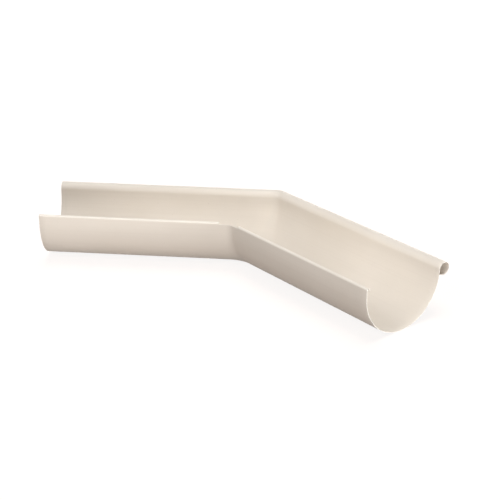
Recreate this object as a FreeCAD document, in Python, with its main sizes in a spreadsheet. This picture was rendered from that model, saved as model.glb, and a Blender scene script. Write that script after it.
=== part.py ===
import FreeCAD, Part
import enum
import math
import os
import Sketcher

# Half-round gutter external angle: one coated steel sheet, pressed round a corner.
# The trough is open upwards, its bead runs along the outer side of the corner (+Y) and
# its folded back edge along the inner side (-Y). The arms run to the left and the right.

NODE = "gutter_angle"
ALONG_X = FreeCAD.Vector(1, 0, 0)
DOWN_Z = FreeCAD.Vector(0, 0, -1)
ARC_SPAN = 90.0

DRIVING_SIZES = [
    ("trough_width", 125.0, "outside width of the half-round trough"),
    ("sheet", 0.6, "thickness of the sheet"),
    ("arm_length", 281.0, "corner to cut end along the middle of the trough"),
    ("turn_angle", 45.0, "degrees that the gutter turns at the corner"),
    ("back_height", 74.0, "underside of the trough to the top of the folded back edge"),
    ("lip_radius", 2.4, "outside radius of the fold along the back edge"),
    ("lip_sweep", 150.0, "degrees that the back edge is folded over"),
    ("lip_leg", 2.8, "straight end of the fold, sloping down inside the trough"),
    ("lip_setback", 9.0, "from the bend to the start of the fold"),
    ("bead_diameter", 17.2, "outside diameter of the rolled front bead"),
    ("bead_sweep", 285.0, "degrees that the bead is rolled"),
    ("bead_leg", 5.8, "straight end of the roll, closing the bead from below"),
    ("bend_radius", 15.0, "radius of the bend at the back wall"),
    ("bead_corner_radius", 2.0, "radius of the corner at the bead's outermost line"),
]

DERIVED_SIZES = [
    ("half_turn", "=turn_angle / 2"),
    ("trough_radius", "=trough_width / 2"),
    ("bead_radius", "=bead_diameter / 2"),
    ("bead_across", "=trough_radius - sheet + bead_radius"),
    ("bead_reach", "=bead_across + bead_radius"),
    ("fold_height", "=back_height - lip_radius"),
    ("axis_distance", "=bend_radius + trough_radius"),
    ("arm_start", "=axis_distance * tan(half_turn) + lip_setback"),
    ("front_edge", "=bead_reach / cos(half_turn) - bead_corner_radius * (1 / cos(half_turn) - 1)"),
    ("back_edge", "=arm_length * sin(half_turn) + trough_radius * cos(half_turn)"),
]


class Spot(enum.IntEnum):
    """How a sketch numbers the points of an edge."""

    START = 1
    END = 2
    CENTRE = 3


class Datum(enum.IntEnum):
    """How a sketch numbers its own origin and axes."""

    ORIGIN = -1
    UPRIGHT_AXIS = -2


def make_sheet(doc):
    """Driving sizes as plain numbers, then the sizes worked out from them."""
    sheet = doc.addObject("Spreadsheet::Sheet", "sizes")
    for row, (name, value, note) in enumerate(DRIVING_SIZES, start=1):
        sheet.set(f"A{row}", str(value))
        sheet.setAlias(f"A{row}", name)
        sheet.set(f"B{row}", note)
    first_derived = len(DRIVING_SIZES) + 1
    for row, (name, formula) in enumerate(DERIVED_SIZES, start=first_derived):
        sheet.set(f"A{row}", formula)
        sheet.setAlias(f"A{row}", name)
    doc.recompute()
    return sheet


def origin_plane(body, role):
    """The body's own origin plane of the given role."""
    for feature in body.Origin.OriginFeatures:
        if feature.Role == role:
            return feature
    raise RuntimeError(f"{body.Label} has no {role}")


def arc(centre, radius, start_degrees, end_degrees):
    """An arc in the section's plane, drawn counter-clockwise."""
    circle = Part.Circle(FreeCAD.Vector(*centre, 0), FreeCAD.Vector(0, 0, 1), radius)
    return Part.ArcOfCircle(circle, math.radians(start_degrees), math.radians(end_degrees))


def line(start, end):
    """A straight edge in the section's plane."""
    return Part.LineSegment(FreeCAD.Vector(*start, 0), FreeCAD.Vector(*end, 0))


def leg_direction(sweep):
    """Which way the straight end of an edge points that was rolled over by this many degrees."""
    turn = math.radians(90 - sweep)
    return math.cos(turn), math.sin(turn)


def step(start, direction, distance):
    """The point that lies this far from the start."""
    return start[0] + direction[0] * distance, start[1] + direction[1] * distance


def rolled_point(centre, radius, degrees):
    """A point on a roll, given by its direction from the centre."""
    turn = math.radians(degrees)
    return step(centre, (math.cos(turn), math.sin(turn)), radius)


def constrain(sketch, *rule):
    """Adds a constraint and returns its number."""
    return sketch.addConstraint(Sketcher.Constraint(*rule))


def bind(sketch, expression, *rule):
    """Adds a dimension that follows the sheet."""
    index = constrain(sketch, *rule)
    sketch.setExpression(f"Constraints[{index}]", expression)


def draw_rolled_edge(sketch, sheet, name, centre):
    """An edge of the sheet, rolled over to the right from an upright wall and ending straight.

    Returns its outer and inner arcs, which end at the wall.
    """
    outside = getattr(sheet, f"{name}_radius")
    inside = outside - sheet.sheet
    sweep = getattr(sheet, f"{name}_sweep")
    leg = getattr(sheet, f"{name}_leg")
    roll_end = 180 - sweep
    direction = leg_direction(sweep)
    outer_end = rolled_point(centre, outside, roll_end)
    inner_end = rolled_point(centre, inside, roll_end)
    outer_tip = step(outer_end, direction, leg)
    inner_tip = step(inner_end, direction, leg)

    outer_arc = sketch.addGeometry(arc(centre, outside, roll_end, 180))
    inner_arc = sketch.addGeometry(arc(centre, inside, roll_end, 180))
    outer_leg = sketch.addGeometry(line(outer_end, outer_tip))
    inner_leg = sketch.addGeometry(line(inner_end, inner_tip))
    cut_edge = sketch.addGeometry(line(inner_tip, outer_tip))

    constrain(sketch, "Coincident", outer_arc, Spot.CENTRE, inner_arc, Spot.CENTRE)
    constrain(sketch, "Tangent", outer_arc, Spot.START, outer_leg, Spot.START)
    constrain(sketch, "Tangent", inner_arc, Spot.START, inner_leg, Spot.START)
    constrain(sketch, "Coincident", inner_leg, Spot.END, cut_edge, Spot.START)
    constrain(sketch, "Coincident", outer_leg, Spot.END, cut_edge, Spot.END)
    constrain(sketch, "Parallel", outer_leg, inner_leg)
    constrain(sketch, "Perpendicular", cut_edge, outer_leg)
    bind(sketch, f"sizes.{name}_radius", "Radius", outer_arc, outside)
    bind(sketch, f"sizes.{name}_leg", "Distance", outer_leg, leg)
    bind(sketch, f"(90 - sizes.{name}_sweep) * 1 deg", "Angle", outer_leg, math.radians(90 - sweep))
    return outer_arc, inner_arc


def draw_arm_section(sketch, sheet):
    """Closed outline of the sheet across an arm: fold, back wall, half-round trough and bead."""
    radius = sheet.trough_radius
    inside = radius - sheet.sheet
    middle = (0, radius)
    fold_height = sheet.fold_height
    fold_centre = (sheet.lip_radius - radius, fold_height)
    bead_centre = (sheet.bead_across, radius)

    fold_outer, fold_inner = draw_rolled_edge(sketch, sheet, "lip", fold_centre)
    bead_outer, bead_inner = draw_rolled_edge(sketch, sheet, "bead", bead_centre)
    wall_outer = sketch.addGeometry(line((-radius, fold_height), (-radius, radius)))
    wall_inner = sketch.addGeometry(line((-inside, fold_height), (-inside, radius)))
    trough_outer = sketch.addGeometry(arc(middle, radius, 180, 360))
    trough_inner = sketch.addGeometry(arc(middle, inside, 180, 360))

    smooth_joints = [
        (fold_outer, Spot.END, wall_outer, Spot.START),
        (fold_inner, Spot.END, wall_inner, Spot.START),
        (wall_outer, Spot.END, trough_outer, Spot.START),
        (wall_inner, Spot.END, trough_inner, Spot.START),
        (trough_outer, Spot.END, bead_inner, Spot.END),
        (trough_inner, Spot.END, bead_outer, Spot.END),
    ]
    for joint in smooth_joints:
        constrain(sketch, "Tangent", *joint)
    constrain(sketch, "Coincident", trough_outer, Spot.CENTRE, trough_inner, Spot.CENTRE)
    constrain(sketch, "Vertical", wall_outer)
    constrain(sketch, "Vertical", wall_inner)
    constrain(sketch, "PointOnObject", trough_outer, Spot.CENTRE, Datum.UPRIGHT_AXIS)
    constrain(sketch, "Horizontal", trough_outer, Spot.CENTRE, bead_outer, Spot.CENTRE)
    ground = (Datum.ORIGIN, Spot.START)
    bind(sketch, "sizes.trough_radius", "Radius", trough_outer, radius)
    bind(sketch, "sizes.trough_radius - sizes.sheet", "Radius", trough_inner, inside)
    bind(sketch, "sizes.trough_radius", "DistanceY", *ground, trough_outer, Spot.CENTRE, radius)
    bind(sketch, "sizes.fold_height", "DistanceY", *ground, fold_outer, Spot.CENTRE, fold_height)


def make_arm(doc, sheet):
    """The right arm, from the end of the bend to its cut end, swung back by half the turn."""
    body = doc.addObject("PartDesign::Body", "right_arm")
    sketch = body.newObject("Sketcher::SketchObject", "arm_section")
    sketch.AttachmentSupport = [(origin_plane(body, "YZ_Plane"), "")]
    sketch.MapMode = "FlatFace"
    draw_arm_section(sketch, sheet)
    doc.recompute()
    pad = body.newObject("PartDesign::Pad", "arm_run")
    pad.Profile = sketch
    pad.setExpression("Length", "sizes.arm_length - sizes.arm_start")
    body.Placement = FreeCAD.Placement(FreeCAD.Vector(), FreeCAD.Rotation(DOWN_Z, sheet.half_turn))
    body.setExpression("Placement.Rotation.Angle", "sizes.half_turn * 1 deg")
    body.setExpression("Placement.Base.x", "sizes.arm_start * cos(sizes.half_turn)")
    body.setExpression("Placement.Base.y", "-sizes.arm_start * sin(sizes.half_turn)")
    return body


def mirror_arm(doc, arm):
    """The left arm, the right one's mirror image."""
    mirrored = doc.addObject("Part::Mirroring", "left_arm")
    mirrored.Source = arm
    mirrored.Normal = ALONG_X
    return mirrored


class PressedCorner:
    """The bend between the arms: every line of the section runs straight, round an arc and on.

    The back half turns about one upright axis on the inner side. From the floor of the trough
    to the bead the arcs tighten steadily, so the bend ends in a crisp corner at the bead.
    """

    def __init__(self, sheet):
        self.sheet = sheet
        self.half_turn = math.radians(sheet.half_turn)

    def on_arm(self, side, along, across, height):
        """A point given along one arm from the corner, across towards the bead, and up."""
        cosine = math.cos(self.half_turn)
        sine = math.sin(self.half_turn)
        x = along * cosine + across * sine
        y = across * cosine - along * sine
        return FreeCAD.Vector(side * x, y, height)

    def arc_radius(self, across):
        """Radius of the bend for the section's line at this place across the trough."""
        if across <= 0:
            return self.sheet.axis_distance + across
        share = across / self.sheet.bead_reach
        return self.sheet.axis_distance * (1 - share) + self.sheet.bead_corner_radius * share

    def arc_start(self, across):
        """Where along the arm that arc starts."""
        return (self.arc_radius(across) - across) * math.tan(self.half_turn)

    def section(self):
        """The sheet's closed outline as weighted poles: straight and round pieces in turn."""
        sheet = self.sheet
        radius = sheet.trough_radius
        inside = radius - sheet.sheet
        rim = sheet.fold_height
        bead_centre = (sheet.bead_across, radius)
        bead_inside = sheet.bead_radius - sheet.sheet
        roll_end = 180 - sheet.bead_sweep
        direction = leg_direction(sheet.bead_sweep)
        inner_end = rolled_point(bead_centre, bead_inside, roll_end)
        outer_end = rolled_point(bead_centre, sheet.bead_radius, roll_end)
        inner_tip = step(inner_end, direction, sheet.bead_leg)
        outer_tip = step(outer_end, direction, sheet.bead_leg)
        return (
            straight_poles((-radius, rim), (-radius, radius))
            + round_poles((0, radius), radius, 180, 360)
            + round_poles(bead_centre, bead_inside, 180, roll_end)
            + straight_poles(inner_end, inner_tip)
            + straight_poles(inner_tip, outer_tip)
            + straight_poles(outer_tip, outer_end)
            + round_poles(bead_centre, sheet.bead_radius, roll_end, 180)
            + round_poles((0, radius), inside, 360, 180)
            + straight_poles((-inside, radius), (-inside, rim))
            + straight_poles((-inside, rim), (-radius, rim))
        )

    def arm_line(self, side, pole):
        """The straight run of one pole, from the arm to the start of its arc."""
        across, height, weight = pole
        outer = self.on_arm(side, self.sheet.arm_start, across, height)
        inner = self.on_arm(side, self.arc_start(across), across, height)
        return [(outer, weight), (inner, weight)]

    def bend_line(self, pole):
        """The arc of one pole, from the left arm to the right one."""
        across, height, weight = pole
        start = self.arc_start(across)
        apex = FreeCAD.Vector(0, across / math.cos(self.half_turn), height)
        return [
            (self.on_arm(-1, start, across, height), weight),
            (apex, weight * math.cos(self.half_turn)),
            (self.on_arm(1, start, across, height), weight),
        ]

    def end_face(self, side, pieces):
        """The flat face where the bend meets an arm."""
        edges = []
        for piece in pieces:
            poles = [self.on_arm(side, self.sheet.arm_start, pole[0], pole[1]) for pole in piece]
            edges.append(curve_through(poles, [pole[2] for pole in piece]))
        return Part.Face(Part.Wire(edges))

    def shape(self):
        """The bend as one closed solid."""
        pieces = self.section()
        faces = []
        for piece in pieces:
            faces.append(surface_through([self.arm_line(-1, pole) for pole in piece]))
            faces.append(surface_through([self.bend_line(pole) for pole in piece]))
            faces.append(surface_through([self.arm_line(1, pole) for pole in piece]))
        faces.append(self.end_face(-1, pieces))
        faces.append(self.end_face(1, pieces))
        shell = Part.Shell(faces)
        shell.sewShape()
        solid = Part.Solid(shell)
        if solid.Volume < 0:
            solid.reverse()
        return solid


def straight_poles(start, end):
    """A straight piece of the section: one piece of two poles (across, height, weight)."""
    return [[(*start, 1.0), (*end, 1.0)]]


def round_poles(centre, radius, start_degrees, end_degrees):
    """An arc of the section, cut into equal pieces of at most a quarter turn."""
    turn = end_degrees - start_degrees
    count = math.ceil(abs(turn) / ARC_SPAN)
    half = math.radians(turn / count / 2)
    pieces = []
    for index in range(count):
        first = math.radians(start_degrees) + 2 * half * index
        poles = []
        for angle, reach, weight in (
            (first, radius, 1.0),
            (first + half, radius / math.cos(half), math.cos(half)),
            (first + 2 * half, radius, 1.0),
        ):
            across = centre[0] + reach * math.cos(angle)
            height = centre[1] + reach * math.sin(angle)
            poles.append((across, height, weight))
        pieces.append(poles)
    return pieces


def curve_through(poles, weights):
    """An exact line or arc from its poles."""
    degree = len(poles) - 1
    curve = Part.BSplineCurve()
    curve.buildFromPolesMultsKnots(poles, [degree + 1] * 2, [0, 1], False, degree, weights)
    return curve.toShape()


def surface_through(rows):
    """A face from rows of weighted poles, one row for each pole of the section's piece."""
    across_degree = len(rows) - 1
    along_degree = len(rows[0]) - 1
    poles = [[point for point, weight in row] for row in rows]
    weights = [[weight for point, weight in row] for row in rows]
    surface = Part.BSplineSurface()
    surface.buildFromPolesMultsKnots(
        poles,
        [across_degree + 1] * 2,
        [along_degree + 1] * 2,
        [0, 1],
        [0, 1],
        False,
        False,
        across_degree,
        along_degree,
        weights,
    )
    return surface.toShape()


def make_corner(doc, sheet):
    """The pressed bend, which no single pad, revolution or loft describes."""
    corner = doc.addObject("Part::Feature", "pressed_corner")
    corner.Shape = PressedCorner(sheet).shape()
    return corner


def join_sheet(doc, pieces):
    """Both arms and the bend as the one sheet that they are, centred front to back."""
    joined = doc.addObject("Part::MultiFuse", NODE)
    joined.Label = NODE
    joined.Shapes = pieces
    joined.Refine = True
    joined.setExpression("Placement.Base.y", "(sizes.back_edge - sizes.front_edge) / 2")
    return joined


def check(doc, part):
    """Stops before anything is written if an object failed or the sheet isn't one sound solid."""
    for item in doc.Objects:
        if "Invalid" in item.State or "Error" in item.State:
            raise RuntimeError(f"{item.Name} failed: {item.State}")
    shape = part.Shape
    if shape.isNull() or not shape.isValid():
        raise RuntimeError(f"{part.Label} has no sound shape")
    if len(shape.Solids) != 1:
        raise RuntimeError(f"{part.Label} is {len(shape.Solids)} solids, not one")


def main():
    doc = FreeCAD.newDocument("gutter_external_angle")
    sheet = make_sheet(doc)
    right_arm = make_arm(doc, sheet)
    left_arm = mirror_arm(doc, right_arm)
    corner = make_corner(doc, sheet)
    part = join_sheet(doc, [right_arm, left_arm, corner])
    doc.recompute()
    check(doc, part)
    os.makedirs("parts", exist_ok=True)
    part.Shape.exportStep(f"parts/{part.Label}.step")
    box = part.Shape.BoundBox
    print(f"{part.Label}: {box.XLength:.2f} x {box.YLength:.2f} x {box.ZLength:.2f} mm")
    print(f"from ({box.XMin:.3f}, {box.YMin:.3f}, {box.ZMin:.3f}) mm, {part.Shape.Volume:.0f} mm3")


main()
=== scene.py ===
import math

import bmesh
import bpy
from bpy.props import FloatProperty, FloatVectorProperty, IntProperty, PointerProperty
from mathutils import Matrix, Vector


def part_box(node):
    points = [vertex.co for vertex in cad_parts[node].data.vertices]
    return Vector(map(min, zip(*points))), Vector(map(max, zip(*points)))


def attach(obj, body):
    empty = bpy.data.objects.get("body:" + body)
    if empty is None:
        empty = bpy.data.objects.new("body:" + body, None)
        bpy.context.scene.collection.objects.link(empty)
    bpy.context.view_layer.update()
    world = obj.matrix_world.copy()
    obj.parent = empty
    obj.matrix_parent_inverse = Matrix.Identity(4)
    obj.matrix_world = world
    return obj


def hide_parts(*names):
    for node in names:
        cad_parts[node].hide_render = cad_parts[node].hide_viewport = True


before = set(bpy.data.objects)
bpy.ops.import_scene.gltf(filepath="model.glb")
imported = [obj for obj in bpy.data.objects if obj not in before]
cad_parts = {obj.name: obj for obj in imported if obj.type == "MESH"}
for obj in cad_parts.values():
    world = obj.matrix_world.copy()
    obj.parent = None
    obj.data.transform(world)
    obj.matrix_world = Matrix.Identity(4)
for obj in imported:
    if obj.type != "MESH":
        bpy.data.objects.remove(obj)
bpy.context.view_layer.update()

bl_info = {
    "name": "Gutter External Angle",
    "version": (1, 0, 0),
    "blender": (4, 5, 0),
    "location": "View3D > Sidebar > Gutter",
    "description": "A half-round gutter angle pressed from one coated sheet, with its studio",
    "category": "Object",
}

NODE = "gutter_angle"
NODE_LOW, NODE_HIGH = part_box(NODE)
UNROLLED = "unrolled"

# Edges sharper than the first angle get a small round. Shading runs on over edges up to the second.
ROUNDED_ANGLE = math.radians(60)
CRISP_ANGLE = math.radians(35)
ROUND_STEPS = 2

# Levels of noise between which each feature of the finish comes in, and its part in the roughness.
CLOUD_LEVELS = (0.3, 0.5, 0.7)
PATCH_LEVELS = (0.3, 0.7)
PATCH_ROUGHNESS = (-0.05, 0.04)
LINE_LEVELS = (0.5, 0.75)
LINE_DULL_LEVELS = (0.45, 0.75)
LINE_DULL_ROUGHNESS = (0, 0.05)
SPECK_LEVELS = (0.74, 0.80)
# Shares of the paler colour on the fold's crest, which is partly rubbed coat and partly a painted
# highlight.
RUB_AND_HIGHLIGHT_SHARES = (0.8, 1)
CHIP_LEVELS = (0.45, 0.6)
MARK_SHADE_LEVELS = (0.26, 0.42, 0.9)
MARK_DULL_LEVELS = (0.2, 0.8)
MARK_ROUGHNESS = (0.35, 0.6)
BUMP_STRENGTH = 0.6

# Each lamp's name, azimuth and elevation in degrees, and width and height in metres.
LAMPS = (
    ("near", 42, 2, (1.0, 0.18)),
    ("right", 64, 2, (2.0, 0.18)),
    ("side", 80, 3, (1.0, 0.18)),
    ("front", -10, 30, (1.6, 1.6)),
    ("top", 0, 89, (1.6, 1.6)),
    ("back", 180, 14, (2.0, 0.8)),
    ("left", -106, 5, (1.6, 0.3)),
)
LAMP_DISTANCE = 2.6
SENSOR_WIDTH = 36.0
FLOOR_SIZE = 14.0

# Metres from the part's middle between which the floor's glow rises to plain white.
FLOOR_FADE = (0.6, 1.8)


def length(name, description, default):
    """A length in metres that a user may change."""
    return FloatProperty(
        name=name, description=description, default=default, unit="LENGTH", precision=5
    )


def angle(name, description, degrees):
    """An angle that a user may change."""
    radians = math.radians(degrees)
    return FloatProperty(name=name, description=description, default=radians, unit="ROTATION")


def amount(name, description, default):
    """A plain number that a user may change."""
    return FloatProperty(name=name, description=description, default=default, precision=4)


def count(name, description, default):
    """A number of steps that a user may change."""
    return IntProperty(name=name, description=description, default=default, min=1)


def colour(name, description, default):
    """A linear colour that a user may change."""
    return FloatVectorProperty(
        name=name, description=description, default=default, subtype="COLOR", size=3, min=0, max=1
    )


class GutterSheetSizes(bpy.types.PropertyGroup):
    """Sizes of the pressed sheet."""

    trough_width: length("Trough width", "Outside width of the half-round trough", 0.125)
    sheet: length("Sheet", "Thickness of the sheet", 0.0006)
    arm_length: length("Arm length", "Corner to cut end along the middle of the trough", 0.281)
    turn_angle: angle("Turn", "How far the gutter turns at the corner", 45.0)
    back_height: length("Back height", "Underside to the top of the folded back edge", NODE_HIGH.z)
    lip_radius: length("Fold radius", "Outside radius of the fold along the back edge", 0.0024)
    lip_sweep: angle("Fold sweep", "How far the back edge is folded over", 150.0)
    lip_leg: length("Fold leg", "Straight end of the fold, sloping down inside the trough", 0.0028)
    lip_setback: length("Fold setback", "From the bend to the start of the fold", 0.009)
    bead_diameter: length("Bead diameter", "Outside diameter of the rolled bead", 0.0172)
    bead_sweep: angle("Bead sweep", "How far the bead is rolled", 285.0)
    bead_leg: length("Bead leg", "Straight end of the roll, closing the bead from below", 0.0058)
    bend_radius: length("Bend radius", "Radius of the bend at the back wall", 0.015)
    bead_corner_radius: length("Bead corner radius", "Radius at the bead's outermost line", 0.002)
    edge_round: length("Edge round", "Rounding of the cut edges", 0.00012)
    fold_steps: count("Fold steps", "Rows round the fold", 15)
    fold_leg_steps: count("Fold leg steps", "Rows across the straight end of the fold", 3)
    wall_steps: count("Wall steps", "Rows down the straight back wall", 4)
    trough_steps: count("Trough steps", "Rows round the trough", 72)
    bead_steps: count("Bead steps", "Rows round the bead", 52)
    bead_leg_steps: count("Bead leg steps", "Rows across the straight end of the bead", 4)
    bend_steps: count("Bend steps", "Columns in each half of the bend", 20)
    setback_steps: count("Setback steps", "Columns from the bend towards the fold", 6)
    arm_steps: count("Arm steps", "Columns along each arm", 24)


class GutterFinish(bpy.types.PropertyGroup):
    """Colours and textures of the coating and the cut edges."""

    coat: colour("Coat", "Cream coating", (0.800, 0.733, 0.650))
    coat_pale: colour("Coat, pale", "Paler clouds in the coating", (0.816, 0.750, 0.669))
    coat_deep: colour("Coat, deep", "Deeper clouds in the coating", (0.783, 0.714, 0.629))
    coat_line: colour("Coat, lines", "Faint lines from rolling the sheet", (0.759, 0.690, 0.605))
    speck: colour("Specks", "Fine dust in the coating", (0.56, 0.50, 0.43))
    # Paler colour on the fold's crest and how far it reaches: partly rubbed coat, partly a painted
    # highlight.
    rubbed_and_highlight: colour("Rubbed coat", "Coating rubbed pale along the fold", (0.845, 0.784, 0.706))
    rub_and_highlight_width: length("Rub width", "How far the rubbed band reaches from the crest", 0.0035)
    coat_gloss: amount("Coat gloss", "Strength of the coating's reflection", 0.16)
    coat_roughness: amount("Coat roughness", "Middle roughness of the coating", 0.56)
    cloud_size: length("Cloud size", "Spacing of the soft clouds in the coating", 0.11)
    patch_size: length("Patch size", "Spacing of the duller patches of the coating", 0.028)
    speck_size: length("Speck size", "Spacing of the noise that the specks come from", 0.0014)
    speck_tint: amount("Speck tint", "How strongly the specks show", 0.5)
    peel_size: length("Peel size", "Spacing of the fine texture of the coating", 0.0011)
    peel_depth: length("Peel depth", "Height of the fine texture of the coating", 0.000012)
    wave_size: length("Wave size", "Spacing of the slight waves in the sheet", 0.045)
    wave_depth: length("Wave depth", "Height of the slight waves in the sheet", 0.00005)
    line_size: length("Line size", "Spacing of the rolled lines", 0.0026)
    line_length: length("Line length", "Length of the rolled lines", 1 / 3)
    line_depth: length("Line depth", "Height of the rolled lines", 0.000003)
    line_tint: amount("Line tint", "How strongly the rolled lines show", 0.32)
    wear_width: length("Wear width", "How far the coating is chipped from the cut edges", 0.0009)
    chip_size: length("Chip size", "Spacing of the chips along the cut edges", 0.0007)
    mark_size: length("Mark size", "Spacing of the marks on the cut edges", 0.0007)
    mark_depth: length("Mark depth", "Height of the marks on the cut edges", 0.00002)
    edge_metal: amount("Edge metal", "How metallic the cut edges look", 0.15)
    zinc: colour("Zinc", "Zinc layer at the cut edges", (0.93, 0.905, 0.86))
    steel: colour("Steel", "Bare steel in the middle of the cut edges", (0.66, 0.64, 0.61))


class GutterStudio(bpy.types.PropertyGroup):
    """Camera, lights and floor."""

    azimuth: angle("Azimuth", "Camera's turn about the part", 27.9)
    elevation: angle("Elevation", "Camera's height above the floor", 23.925)
    roll: angle("Roll", "Camera's turn about its own line of sight", -0.375)
    distance: length("Distance", "Camera to the point that it looks at", 1.69948)
    target: FloatVectorProperty(
        name="Target",
        description="Point that the camera looks at",
        default=(-0.00609, 0.03991, 0.00826),
        subtype="XYZ",
    )
    lens: amount("Lens", "Focal length in millimetres on a 36 mm sensor", 89.004)
    near_power: amount("Near power", "Watts of the low lamp beside the camera", 18.7)
    right_power: amount("Right power", "Watts of the low wide lamp on the right", 27.0)
    side_power: amount("Side power", "Watts of the low lamp beyond it", 16.5)
    front_power: amount("Front power", "Watts of the lamp in front", 19.3)
    top_power: amount("Top power", "Watts of the lamp overhead", 42.0)
    back_power: amount("Back power", "Watts of the lamp behind", 29.0)
    left_power: amount("Left power", "Watts of the low lamp behind on the left", 22.0)
    sky: amount("Sky", "Strength of the even light from all round", 0.12)
    floor: colour("Floor", "Shade of the floor", (0.245, 0.19, 0.162))
    floor_glow: amount("Floor glow", "What is seen of the floor besides its shade", 0.86)


class SheetForm:
    """The middle of the sheet: where each row of the section and each column along it comes to lie.

    The back half of the trough turns about one upright axis on the inner side of the corner.
    From the floor of the trough to the bead the arcs tighten, and end in a crisp corner.
    """

    def __init__(self, sizes):
        self.sizes = sizes
        self.half_turn = sizes.turn_angle / 2
        self.radius = sizes.trough_width / 2
        self.half_sheet = sizes.sheet / 2
        self.bead_radius = sizes.bead_diameter / 2
        self.bead_across = self.radius - sizes.sheet + self.bead_radius
        self.bead_reach = self.bead_across + self.bead_radius
        self.fold_height = sizes.back_height - sizes.lip_radius
        self.axis_distance = sizes.bend_radius + self.radius
        self.arm_start = self.axis_distance * math.tan(self.half_turn) + sizes.lip_setback
        end_back = sizes.arm_length * math.sin(self.half_turn)
        self.shift = NODE_LOW.y + end_back + self.radius * math.cos(self.half_turn)
        self.rows = self.section_rows()
        self.widths = self.row_widths()
        self.columns = self.right_columns()

    @staticmethod
    def rolled_edge(centre, radius, sweep, leg, arc_steps, leg_steps):
        """Places (across, height) round a roll that turns right off a wall and ends straight."""
        places = []
        for step in range(arc_steps):
            turn = math.pi - sweep * step / arc_steps
            across = centre[0] + radius * math.cos(turn)
            places.append((across, centre[1] + radius * math.sin(turn)))
        last_turn = math.pi - sweep
        heading = last_turn - math.pi / 2
        for step in range(leg_steps + 1):
            reach = leg * step / leg_steps
            across = centre[0] + radius * math.cos(last_turn) + reach * math.cos(heading)
            height = centre[1] + radius * math.sin(last_turn) + reach * math.sin(heading)
            places.append((across, height))
        return places

    def section_rows(self):
        """Place (across, height) of every row, from the tip of the fold to the tip of the bead."""
        sizes = self.sizes
        fold = self.rolled_edge(
            (sizes.lip_radius - self.radius, self.fold_height),
            sizes.lip_radius - self.half_sheet,
            sizes.lip_sweep,
            sizes.lip_leg,
            sizes.fold_steps,
            sizes.fold_leg_steps,
        )
        bead = self.rolled_edge(
            (self.bead_across, self.radius),
            self.bead_radius - self.half_sheet,
            sizes.bead_sweep,
            sizes.bead_leg,
            sizes.bead_steps,
            sizes.bead_leg_steps,
        )
        wall = []
        for step in range(1, sizes.wall_steps):
            height = self.fold_height + (self.radius - self.fold_height) * step / sizes.wall_steps
            wall.append((self.half_sheet - self.radius, height))
        trough = []
        for step in range(sizes.trough_steps):
            turn = math.pi + math.pi * step / sizes.trough_steps
            reach = self.radius - self.half_sheet
            trough.append((reach * math.cos(turn), self.radius + reach * math.sin(turn)))
        return fold[::-1] + wall + trough + bead

    def row_widths(self):
        """Width of the flat sheet up to every row."""
        widths = [0.0]
        for before, after in zip(self.rows, self.rows[1:]):
            widths.append(widths[-1] + math.dist(before, after))
        return widths

    def right_columns(self):
        """Stretch and share along it of every column, from the corner to the right end."""
        sizes = self.sizes
        columns = []
        for stretch, steps in (
            ("bend", sizes.bend_steps),
            ("setback", sizes.setback_steps),
            ("arm", sizes.arm_steps),
        ):
            columns += [(stretch, step / steps) for step in range(steps)]
        columns.append(("arm", 1.0))
        return columns

    def notch(self):
        """First row below the notch in the back edge, and column from the corner where it ends."""
        first_row = self.sizes.fold_steps + self.sizes.fold_leg_steps
        last_column = self.sizes.bend_steps + self.sizes.setback_steps
        return first_row, last_column

    def unrolled(self, row, column):
        """Place of a corner of the blank on the flat sheet, in metres from its middle."""
        stretch, share = self.columns[abs(column)]
        bend = self.axis_distance * self.half_turn
        setback = self.sizes.lip_setback
        if stretch == "bend":
            along = bend * share
        elif stretch == "setback":
            along = bend + setback * share
        else:
            along = bend + setback + (self.sizes.arm_length - self.arm_start) * share
        return math.copysign(along, column), self.widths[row] - self.widths[-1] / 2

    def fold_crest(self):
        """Place across the flat sheet of the crest of the fold, in metres from the middle."""
        sizes = self.sizes
        inner_share = 1 - math.pi / 2 / sizes.lip_sweep
        row = sizes.fold_leg_steps + round(sizes.fold_steps * inner_share)
        return self.widths[row] - self.widths[-1] / 2

    def unrolled_reach(self):
        """How far the flat sheet reaches from its middle, along and across."""
        return self.unrolled(len(self.rows) - 1, len(self.columns) - 1)

    def arc_radius(self, across):
        """Radius of the bend for the section's line at this place across the trough."""
        if across <= 0:
            return self.axis_distance + across
        share = across / self.bead_reach
        return self.axis_distance * (1 - share) + self.sizes.bead_corner_radius * share

    def on_arm(self, along, across, height):
        """A point along the right arm from the corner, across towards the bead, and up."""
        cosine = math.cos(self.half_turn)
        sine = math.sin(self.half_turn)
        right = along * cosine + across * sine
        outward = across * cosine - along * sine + self.shift
        return Vector((right, outward, height))

    def on_bend(self, share, across, height):
        """A point on the right half of the bend, from its middle to the arm."""
        radius = self.arc_radius(across)
        middle = (across - radius) / math.cos(self.half_turn) + self.shift
        turn = self.half_turn * share
        return Vector((radius * math.sin(turn), middle + radius * math.cos(turn), height))

    def point(self, row, column):
        """Where a corner of the blank comes to lie. Columns left of the middle are negative."""
        across, height = self.rows[row]
        stretch, share = self.columns[abs(column)]
        arc_end = (self.arc_radius(across) - across) * math.tan(self.half_turn)
        if stretch == "bend":
            spot = self.on_bend(share, across, height)
        elif stretch == "setback":
            along = arc_end + (self.arm_start - arc_end) * share
            spot = self.on_arm(along, across, height)
        else:
            along = self.arm_start + (self.sizes.arm_length - self.arm_start) * share
            spot = self.on_arm(along, across, height)
        if column < 0:
            spot.x = -spot.x
        return spot


def deselect_all():
    """Nothing selected, so that an operator acts on the new piece alone."""
    if bpy.context.object and bpy.context.object.mode != "OBJECT":
        bpy.ops.object.mode_set(mode="OBJECT")
    bpy.ops.object.select_all(action="DESELECT")


def apply_modifier(piece, kind, **settings):
    """Adds one modifier with its settings and applies it."""
    modifier = piece.modifiers.new(kind.title(), kind)
    for name, value in settings.items():
        setattr(modifier, name, value)
    bpy.context.view_layer.objects.active = piece
    bpy.ops.object.modifier_apply(modifier=modifier.name)


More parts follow.
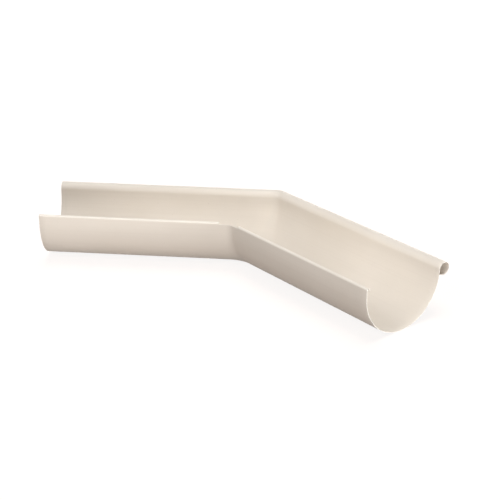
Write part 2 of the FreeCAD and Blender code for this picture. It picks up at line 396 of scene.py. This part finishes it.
def blank_spot(form, place):
    """Row and column of a place on the blank, which is one metre square about the origin."""
    row = (place.y + 0.5) * (len(form.rows) - 1)
    column = place.x * 2 * (len(form.columns) - 1)
    return row, column


def cut_blank(form):
    """A flat blank with a cell for every row and column, notched where the back edge bends."""
    deselect_all()
    bpy.ops.mesh.primitive_grid_add(
        x_subdivisions=2 * (len(form.columns) - 1), y_subdivisions=len(form.rows) - 1, size=1
    )
    blank = bpy.context.object
    first_row, last_column = form.notch()
    bpy.ops.object.mode_set(mode="EDIT")
    bpy.ops.mesh.select_mode(type="FACE")
    bpy.ops.mesh.select_all(action="DESELECT")
    cells = bmesh.from_edit_mesh(blank.data)
    for cell in cells.faces:
        row, column = blank_spot(form, cell.calc_center_median())
        cell.select = row < first_row and abs(column) < last_column
    bmesh.update_edit_mesh(blank.data)
    bpy.ops.mesh.delete(type="FACE")
    bpy.ops.object.mode_set(mode="OBJECT")
    return blank


def press_blank(blank, form):
    """Moves the blank's corners onto the pressed sheet, and keeps their flat places as a map."""
    flat_map = blank.data.uv_layers.active
    flat_map.name = UNROLLED
    spots = []
    for vertex in blank.data.vertices:
        row, column = blank_spot(form, vertex.co)
        spots.append((round(row), round(column)))
    for loop in blank.data.loops:
        flat_map.uv[loop.index].vector = form.unrolled(*spots[loop.vertex_index])
    for vertex, spot in zip(blank.data.vertices, spots):
        vertex.co = form.point(*spot)


class GUTTER_OT_press_sheet(bpy.types.Operator):
    """Press the gutter angle from a flat blank and give the sheet its thickness"""

    bl_idname = "gutter.press_sheet"
    bl_label = "Press Sheet"

    def execute(self, context):
        sizes = context.scene.gutter_sizes
        form = SheetForm(sizes)
        sheet = cut_blank(form)
        press_blank(sheet, form)
        sheet.name = "gutter_sheet"
        sheet.data.name = "gutter_sheet"
        bpy.ops.object.mode_set(mode="EDIT")
        bpy.ops.mesh.select_all(action="SELECT")
        bpy.ops.mesh.normals_make_consistent(inside=False)
        bpy.ops.object.mode_set(mode="OBJECT")
        sheet.data.materials.append(coat_material(form, context.scene.gutter_finish))
        sheet.data.materials.append(cut_edge_material(context.scene.gutter_finish))
        apply_modifier(
            sheet,
            "SOLIDIFY",
            thickness=sizes.sheet,
            offset=0.0,
            use_even_offset=True,
            use_quality_normals=True,
            material_offset_rim=1,
        )
        apply_modifier(
            sheet,
            "BEVEL",
            width=sizes.edge_round,
            segments=ROUND_STEPS,
            limit_method="ANGLE",
            angle_limit=ROUNDED_ANGLE,
        )
        bpy.ops.object.shade_smooth_by_angle(angle=CRISP_ANGLE)
        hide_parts(NODE)
        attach(sheet, "root")
        return {"FINISHED"}


def new_material(name):
    """A new node material, its tree and its shader."""
    material = bpy.data.materials.new(name)
    material.use_nodes = True
    return material, material.node_tree, material.node_tree.nodes["Principled BSDF"]


def add_node(tree, kind, values, **links):
    """A new node with plain input values, and outputs linked to the inputs that are named."""
    node = tree.nodes.new(kind)
    for socket, value in values.items():
        node.inputs[socket].default_value = value
    for socket, output in links.items():
        tree.links.new(output, node.inputs[socket])
    return node


def add_noise(tree, place, size, detail):
    """Soft noise whose features are about as wide as the size in metres."""
    node = add_node(tree, "ShaderNodeTexNoise", {"Scale": 1 / size, "Detail": detail}, Vector=place)
    return node.outputs["Fac"]


def add_range(tree, value, old, new):
    """The value moved from one range of numbers to another and kept inside it."""
    limits = {"From Min": old[0], "From Max": old[1], "To Min": new[0], "To Max": new[1]}
    return add_node(tree, "ShaderNodeMapRange", limits, Value=value).outputs["Result"]


def add_math(tree, operation, first, second):
    """Two outputs joined by one operation."""
    node = tree.nodes.new("ShaderNodeMath")
    node.operation = operation
    tree.links.new(first, node.inputs[0])
    tree.links.new(second, node.inputs[1])
    return node.outputs["Value"]


def add_ramp(tree, value, stops):
    """A colour for the value, from stops of place and colour."""
    node = add_node(tree, "ShaderNodeValToRGB", {}, Fac=value)
    elements = node.color_ramp.elements
    for element, (place, shade) in zip((elements[0], elements[1]), (stops[0], stops[-1])):
        element.position = place
        element.color = (*shade, 1)
    for place, shade in stops[1:-1]:
        elements.new(place).color = (*shade, 1)
    return node.outputs["Color"]


def add_tint(tree, under, share, shade):
    """One colour laid over another by a share that varies over the surface."""
    node = tree.nodes.new("ShaderNodeMixRGB")
    node.inputs["Color2"].default_value = (*shade, 1)
    tree.links.new(under, node.inputs["Color1"])
    tree.links.new(share, node.inputs["Fac"])
    return node.outputs["Color"]


def add_bump(tree, height, depth, under=None):
    """Bumps of the given depth in metres, on top of others."""
    values = {"Strength": BUMP_STRENGTH, "Distance": depth}
    node = add_node(tree, "ShaderNodeBump", values, Height=height)
    if under:
        tree.links.new(under, node.inputs["Normal"])
    return node.outputs["Normal"]


def edge_wear(tree, form, finish, chips):
    """How far the coating is chipped: only close to the sheet's own edges, and raggedly."""
    unrolled = add_node(tree, "ShaderNodeUVMap", {})
    unrolled.uv_map = UNROLLED
    parts = add_node(tree, "ShaderNodeSeparateXYZ", {}, Vector=unrolled.outputs["UV"])
    shares = []
    for axis, reach in zip("XY", form.unrolled_reach()):
        away = tree.nodes.new("ShaderNodeMath")
        away.operation = "ABSOLUTE"
        tree.links.new(parts.outputs[axis], away.inputs[0])
        margin = (reach - finish.wear_width, reach)
        shares.append(add_range(tree, away.outputs["Value"], margin, (0, 1)))
    near = add_math(tree, "MAXIMUM", *shares)
    ragged = add_math(tree, "MULTIPLY", near, add_range(tree, chips, CHIP_LEVELS, (0, 1)))
    return ragged, unrolled.outputs["UV"]


def fold_rub_and_highlight(tree, form, finish, unrolled, patches):
    """Share of paler colour along the crest of the fold, uneven: partly rubbed coat, partly painted
    highlight.
    """
    across = add_node(tree, "ShaderNodeSeparateXYZ", {}, Vector=unrolled).outputs["Y"]
    crest = form.fold_crest()
    width = finish.rub_and_highlight_width
    rise = add_range(tree, across, (crest - width, crest - width / 2), (0, 1))
    fall = add_range(tree, across, (crest + width / 2, crest + width), (1, 0))
    band = add_math(tree, "MINIMUM", rise, fall)
    return add_math(tree, "MULTIPLY", band, add_range(tree, patches, PATCH_LEVELS, RUB_AND_HIGHLIGHT_SHARES))


def coat_material(form, finish):
    """Satin cream coat: clouds, rolled lines, peel, specks, a paler fold crest (rubbed coat and
    painted highlight), chipped edges.
    """
    material, tree, shader = new_material("cream_coat")
    shader.inputs["Specular IOR Level"].default_value = finish.coat_gloss
    place = tree.nodes.new("ShaderNodeTexCoord").outputs["Object"]
    clouds = add_noise(tree, place, finish.cloud_size, detail=3)
    patches = add_noise(tree, place, finish.patch_size, detail=4)
    specks = add_noise(tree, place, finish.speck_size, detail=1)
    chips = add_noise(tree, place, finish.chip_size, detail=2)
    wear, unrolled = edge_wear(tree, form, finish, chips)
    stretch = (1 / finish.line_length, 1 / finish.line_size, 1)
    stretched = add_node(tree, "ShaderNodeMapping", {"Scale": stretch}, Vector=unrolled)
    lines = add_noise(tree, stretched.outputs["Vector"], size=1, detail=2)

    shades = (finish.coat_deep, finish.coat, finish.coat_pale)
    shade = add_ramp(tree, clouds, tuple(zip(CLOUD_LEVELS, shades)))
    line_share = add_range(tree, lines, LINE_LEVELS, (0, finish.line_tint))
    shade = add_tint(tree, shade, line_share, finish.coat_line)
    speck_share = add_range(tree, specks, SPECK_LEVELS, (0, finish.speck_tint))
    shade = add_tint(tree, shade, speck_share, finish.speck)
    # The fold's crest is laid paler: partly rubbed coat, partly a painted highlight.
    rub_and_highlight = fold_rub_and_highlight(tree, form, finish, unrolled, patches)
    shade = add_tint(tree, shade, rub_and_highlight, finish.rubbed_and_highlight)
    shade = add_tint(tree, shade, wear, finish.zinc)
    tree.links.new(shade, shader.inputs["Base Color"])

    limits = tuple(finish.coat_roughness + change for change in PATCH_ROUGHNESS)
    roughness = add_range(tree, patches, PATCH_LEVELS, limits)
    dull_lines = add_range(tree, lines, LINE_DULL_LEVELS, LINE_DULL_ROUGHNESS)
    tree.links.new(add_math(tree, "ADD", roughness, dull_lines), shader.inputs["Roughness"])

    waves = add_noise(tree, place, finish.wave_size, detail=1)
    peel = add_noise(tree, place, finish.peel_size, detail=2)
    normal = add_bump(tree, waves, finish.wave_depth)
    normal = add_bump(tree, lines, finish.line_depth, normal)
    normal = add_bump(tree, peel, finish.peel_depth, normal)
    tree.links.new(normal, shader.inputs["Normal"])
    return material


def cut_edge_material(finish):
    """Sheared edge of the sheet: zinc drawn over the steel, with fine marks."""
    material, tree, shader = new_material("cut_edge")
    shader.inputs["Metallic"].default_value = finish.edge_metal
    place = tree.nodes.new("ShaderNodeTexCoord").outputs["Object"]
    marks = add_noise(tree, place, finish.mark_size, detail=3)
    shades = (finish.steel, finish.zinc, finish.coat_pale)
    shade = add_ramp(tree, marks, tuple(zip(MARK_SHADE_LEVELS, shades)))
    tree.links.new(shade, shader.inputs["Base Color"])
    roughness = add_range(tree, marks, MARK_DULL_LEVELS, MARK_ROUGHNESS)
    tree.links.new(roughness, shader.inputs["Roughness"])
    tree.links.new(add_bump(tree, marks, finish.mark_depth), shader.inputs["Normal"])
    return material


def seen_directly(tree):
    """One for rays that show the background: from the camera, off gloss and through glass."""
    path = tree.nodes.new("ShaderNodeLightPath")
    seen = add_math(tree, "MAXIMUM", path.outputs["Is Camera Ray"], path.outputs["Is Glossy Ray"])
    return add_math(tree, "MAXIMUM", seen, path.outputs["Is Transmission Ray"])


def floor_material(studio):
    """Pale floor that is seen as white, apart from the part's shadow."""
    material, tree, shader = new_material("studio_floor")
    tree.nodes.remove(shader)
    matt = add_node(tree, "ShaderNodeBsdfDiffuse", {"Color": (*studio.floor, 1)})
    place = tree.nodes.new("ShaderNodeTexCoord").outputs["Object"]
    away = tree.nodes.new("ShaderNodeVectorMath")
    away.operation = "LENGTH"
    tree.links.new(place, away.inputs[0])
    glow_level = add_range(tree, away.outputs["Value"], FLOOR_FADE, (studio.floor_glow, 1))
    level = add_math(tree, "MULTIPLY", seen_directly(tree), glow_level)
    glow = add_node(tree, "ShaderNodeEmission", {}, Strength=level)
    both = tree.nodes.new("ShaderNodeAddShader")
    tree.links.new(matt.outputs["BSDF"], both.inputs[0])
    tree.links.new(glow.outputs["Emission"], both.inputs[1])
    tree.links.new(both.outputs["Shader"], tree.nodes["Material Output"].inputs["Surface"])
    return material


def light_world(studio):
    """Even light from all round, which is seen as white."""
    world = bpy.data.worlds.new("studio_sky")
    bpy.context.scene.world = world
    world.use_nodes = True
    tree = world.node_tree
    sky = tree.nodes["Background"]
    sky.inputs["Color"].default_value = (1, 1, 1, 1)
    level = add_range(tree, seen_directly(tree), (0, 1), (studio.sky, 1))
    tree.links.new(level, sky.inputs["Strength"])


def direction(azimuth, elevation):
    """The way out from the part, at an azimuth counted from -Y towards +X, and an elevation."""
    level = math.cos(elevation)
    return Vector((math.sin(azimuth) * level, -math.cos(azimuth) * level, math.sin(elevation)))


def add_lamp(name, azimuth, elevation, size, power, target):
    """A large soft lamp that faces the part."""
    away = direction(math.radians(azimuth), math.radians(elevation))
    deselect_all()
    bpy.ops.object.light_add(type="AREA", location=target + away * LAMP_DISTANCE)
    lamp = bpy.context.object
    lamp.name = f"{name}_lamp"
    lamp.rotation_euler = away.to_track_quat("Z", "Y").to_euler()
    lamp.data.name = name
    lamp.data.shape = "RECTANGLE"
    lamp.data.size, lamp.data.size_y = size
    lamp.data.energy = power


def add_camera(studio):
    """A camera at the photograph's angle."""
    back = direction(studio.azimuth, studio.elevation)
    right = Vector((math.cos(studio.azimuth), math.sin(studio.azimuth), 0))
    up = back.cross(right)
    axes = Matrix((right, up, back)).transposed() @ Matrix.Rotation(-studio.roll, 3, "Z")
    deselect_all()
    bpy.ops.object.camera_add(location=Vector(studio.target) + back * studio.distance)
    camera = bpy.context.object
    camera.name = "photo_camera"
    camera.rotation_euler = axes.to_euler()
    camera.data.lens = studio.lens
    camera.data.sensor_width = SENSOR_WIDTH
    bpy.context.scene.camera = camera


class GUTTER_OT_set_stage(bpy.types.Operator):
    """Lay the floor, hang the lamps and place the camera"""

    bl_idname = "gutter.set_stage"
    bl_label = "Set Stage"

    def execute(self, context):
        studio = context.scene.gutter_studio
        target = Vector(studio.target)
        deselect_all()
        bpy.ops.mesh.primitive_plane_add(size=FLOOR_SIZE, location=(0, 0, 0))
        floor = context.object
        floor.name = "studio_floor"
        floor.data.materials.append(floor_material(studio))
        light_world(studio)
        for name, azimuth, elevation, size in LAMPS:
            add_lamp(name, azimuth, elevation, size, getattr(studio, f"{name}_power"), target)
        add_camera(studio)
        context.scene.view_settings.view_transform = "Standard"
        return {"FINISHED"}


class GUTTER_PT_sidebar(bpy.types.Panel):
    """Gutter angle tools"""

    bl_idname = "GUTTER_PT_sidebar"
    bl_label = "Gutter External Angle"
    bl_space_type = "VIEW_3D"
    bl_region_type = "UI"
    bl_category = "Gutter"

    def draw(self, context):
        for group, operator in (
            (context.scene.gutter_sizes, GUTTER_OT_press_sheet),
            (context.scene.gutter_finish, None),
            (context.scene.gutter_studio, GUTTER_OT_set_stage),
        ):
            column = self.layout.column()
            for name in group.__annotations__:
                column.prop(group, name)
            if operator:
                column.operator(operator.bl_idname)


CLASSES = (
    GutterSheetSizes,
    GutterFinish,
    GutterStudio,
    GUTTER_OT_press_sheet,
    GUTTER_OT_set_stage,
    GUTTER_PT_sidebar,
)


def register():
    """Registers the classes and hangs the property groups on the scene."""
    for item in CLASSES:
        bpy.utils.register_class(item)
    bpy.types.Scene.gutter_sizes = PointerProperty(type=GutterSheetSizes)
    bpy.types.Scene.gutter_finish = PointerProperty(type=GutterFinish)
    bpy.types.Scene.gutter_studio = PointerProperty(type=GutterStudio)


def unregister():
    """Takes the property groups and the classes away again."""
    del bpy.types.Scene.gutter_studio
    del bpy.types.Scene.gutter_finish
    del bpy.types.Scene.gutter_sizes
    for item in reversed(CLASSES):
        bpy.utils.unregister_class(item)


def main():
    """Makes the part and its stage."""
    register()
    bpy.ops.gutter.press_sheet()
    bpy.ops.gutter.set_stage()


if __name__ == "__main__":
    main()
